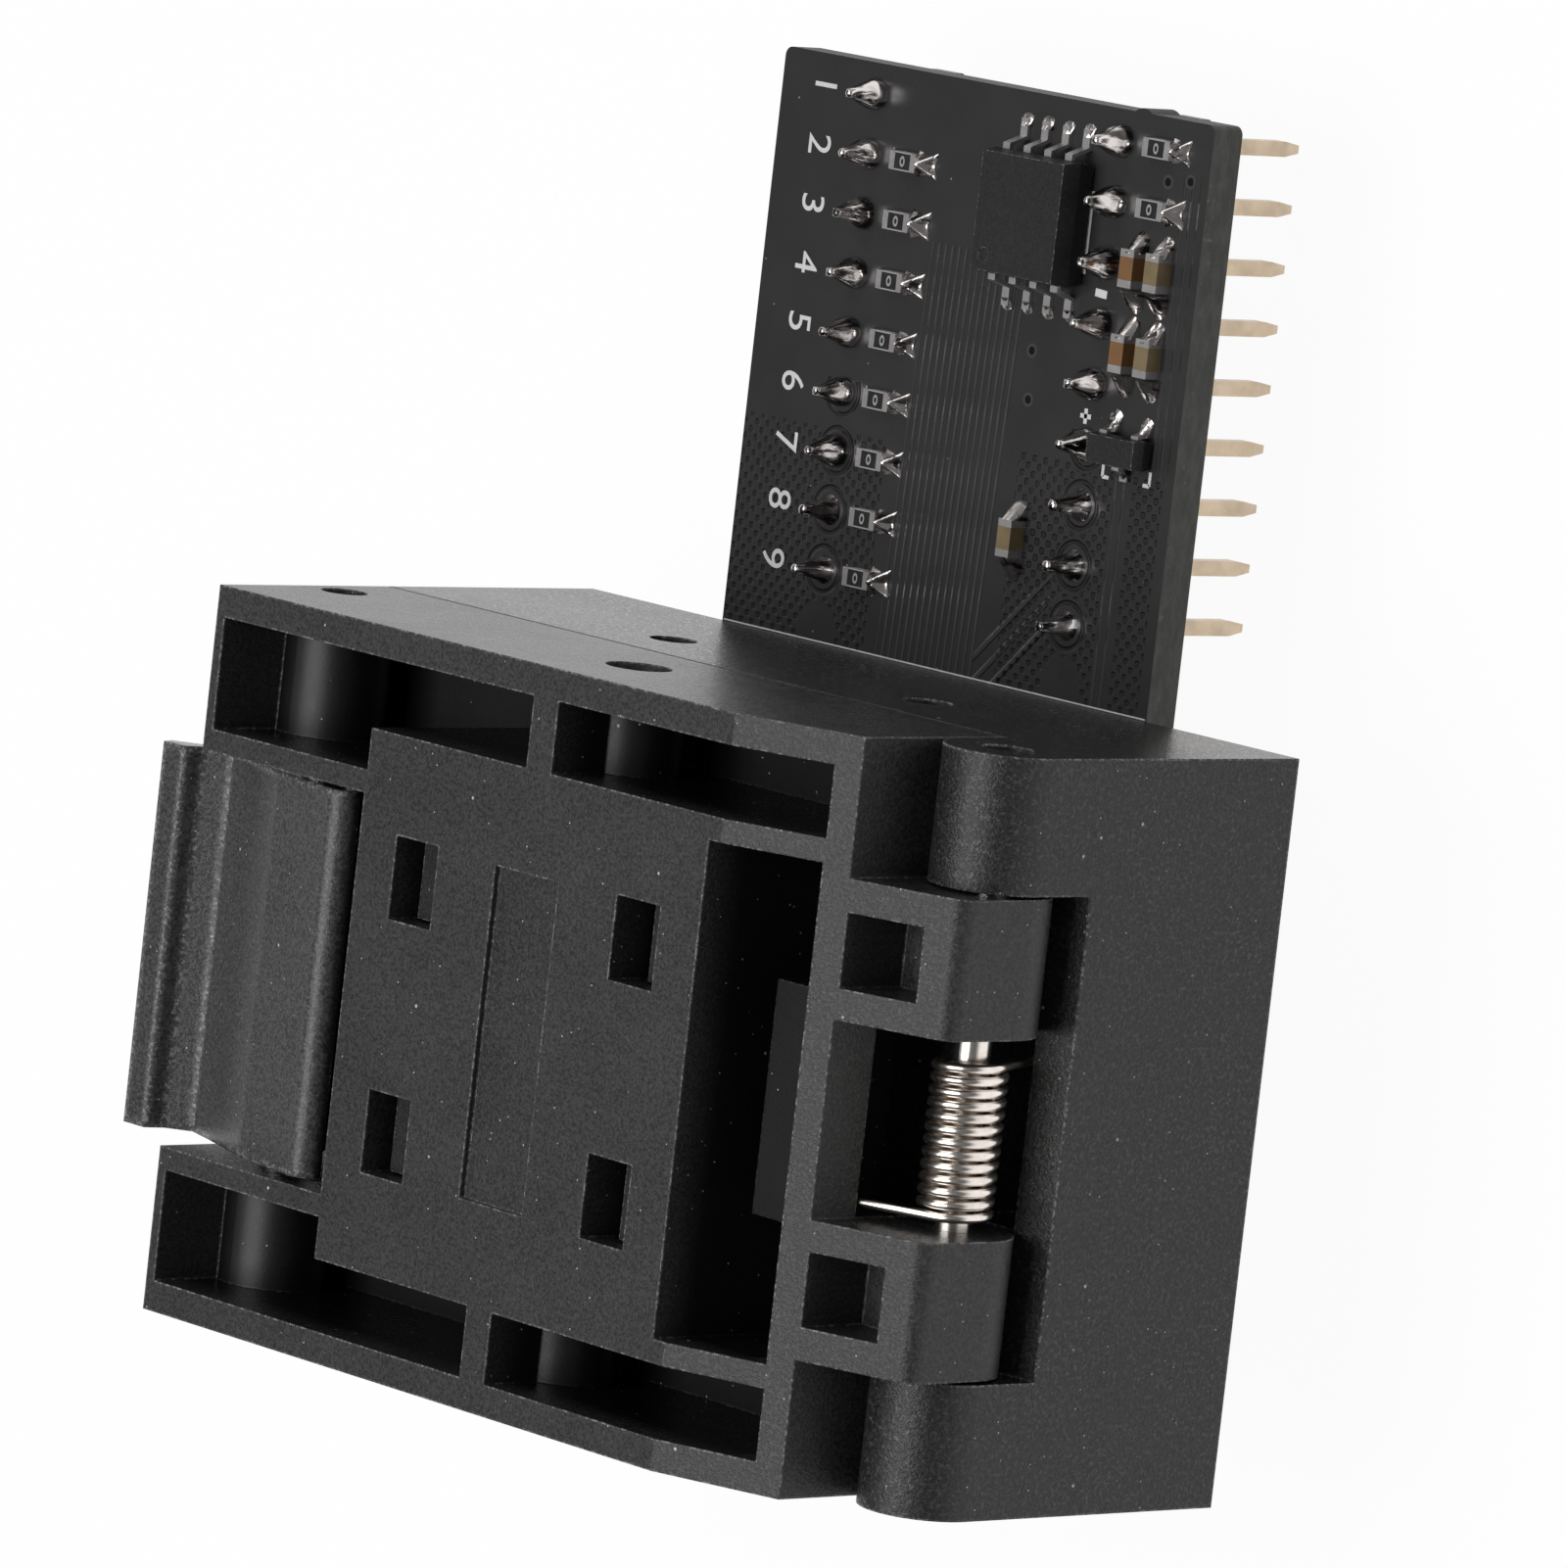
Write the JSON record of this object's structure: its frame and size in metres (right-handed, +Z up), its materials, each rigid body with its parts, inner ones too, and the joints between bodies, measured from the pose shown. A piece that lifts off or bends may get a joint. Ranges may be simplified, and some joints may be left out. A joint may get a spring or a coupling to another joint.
{
  "type": "ic test socket",
  "caption": "Clamshell test socket for a ball-grid memory chip on a small board with a dual row of header pins; sprung lid, rocking latch.",
  "frame": {"origin": "middle of the dual pin row, on the underside of its insulator bars, where the adapter seats on the programmer", "axes": "+Z up out of the board's face, +Y from the socket towards the board's tail, +X towards the lid's hinge"},
  "size_m": [0.0483, 0.0562, 0.031],
  "materials": {
    "board_laminate": "black solder mask over glass laminate",
    "strip_plastic": "moulded insulator bar",
    "pin_gold": "gold flash on brass",
    "solder": "bright solder",
    "chip_plastic": "moulding compound",
    "lead_tin": "tinned leads",
    "resistor_body": "glazed ceramic",
    "terminal_tin": "tinned ends",
    "capacitor_body": "brown ceramic",
    "base_plastic": "black glass filled moulding, fine grain",
    "screw_steel": "plated steel",
    "block_plastic": "black moulding",
    "contact_gold": "gold plated",
    "nest_plastic": "black moulding",
    "plate_plastic": "black moulding",
    "lid_plastic": "black glass filled moulding, fine grain",
    "latch_plastic": "black moulding, smooth",
    "spring_steel": "nickel plated spring wire",
    "pin_steel": "ground steel"
  },
  "bodies": {
    "base": {"adapter_board": "board_laminate", "header_strip_left": "strip_plastic", "header_strip_right": "strip_plastic", "header_pins_left": "pin_gold", "header_pins_right": "pin_gold", "solder_joints": "solder", "interface_chip": "chip_plastic", "interface_chip_leads": "lead_tin", "transistor": "chip_plastic", "transistor_leads": "lead_tin", "link_resistors": "resistor_body", "resistor_terminals": "terminal_tin", "capacitors": "capacitor_body", "capacitor_terminals": "terminal_tin", "base_housing": "base_plastic", "base_screws": "screw_steel", "contact_block": "block_plastic", "contact_probes": "contact_gold", "nest_springs": "spring_steel", "hinge_pin": "pin_steel", "hinge_spring": "spring_steel"},
    "lid": {"lid_housing": "lid_plastic", "latch_pin": "pin_steel", "press_pin": "pin_steel", "latch_springs": "spring_steel"},
    "plate": {"pressure_plate": "plate_plastic"},
    "latch": {"latch_lever": "latch_plastic"},
    "nest": {"nest_plate": "nest_plastic"}
  },
  "joints": [
    {"name": "lid_hinge", "type": "hinge", "parent": "base", "child": "lid", "pos_m": [0.01952, -0.0289, 0.01798], "axis": [0, 1, 0], "range_deg": [0, 100], "deforming": ["hinge_spring"]},
    {"name": "latch_pivot", "type": "hinge", "parent": "lid", "child": "latch", "pos_m": [-0.02045, -0.0289, 0.01958], "axis": [0, 1, 0], "range_deg": [0, 14], "stiffness_Nm_per_rad": 0.02, "springref_deg": -17.19, "deforming": ["latch_springs"]},
    {"name": "plate_slide", "type": "slide", "parent": "lid", "child": "plate", "axis": [0, 0, 1], "range_m": [0, 0.00055]},
    {"name": "nest_slide", "type": "slide", "parent": "base", "child": "nest", "axis": [0, 0, -1], "range_m": [0, 0.0005], "stiffness_N_per_m": 400, "springref_m": -0.001, "deforming": ["nest_springs"]}
  ]
}
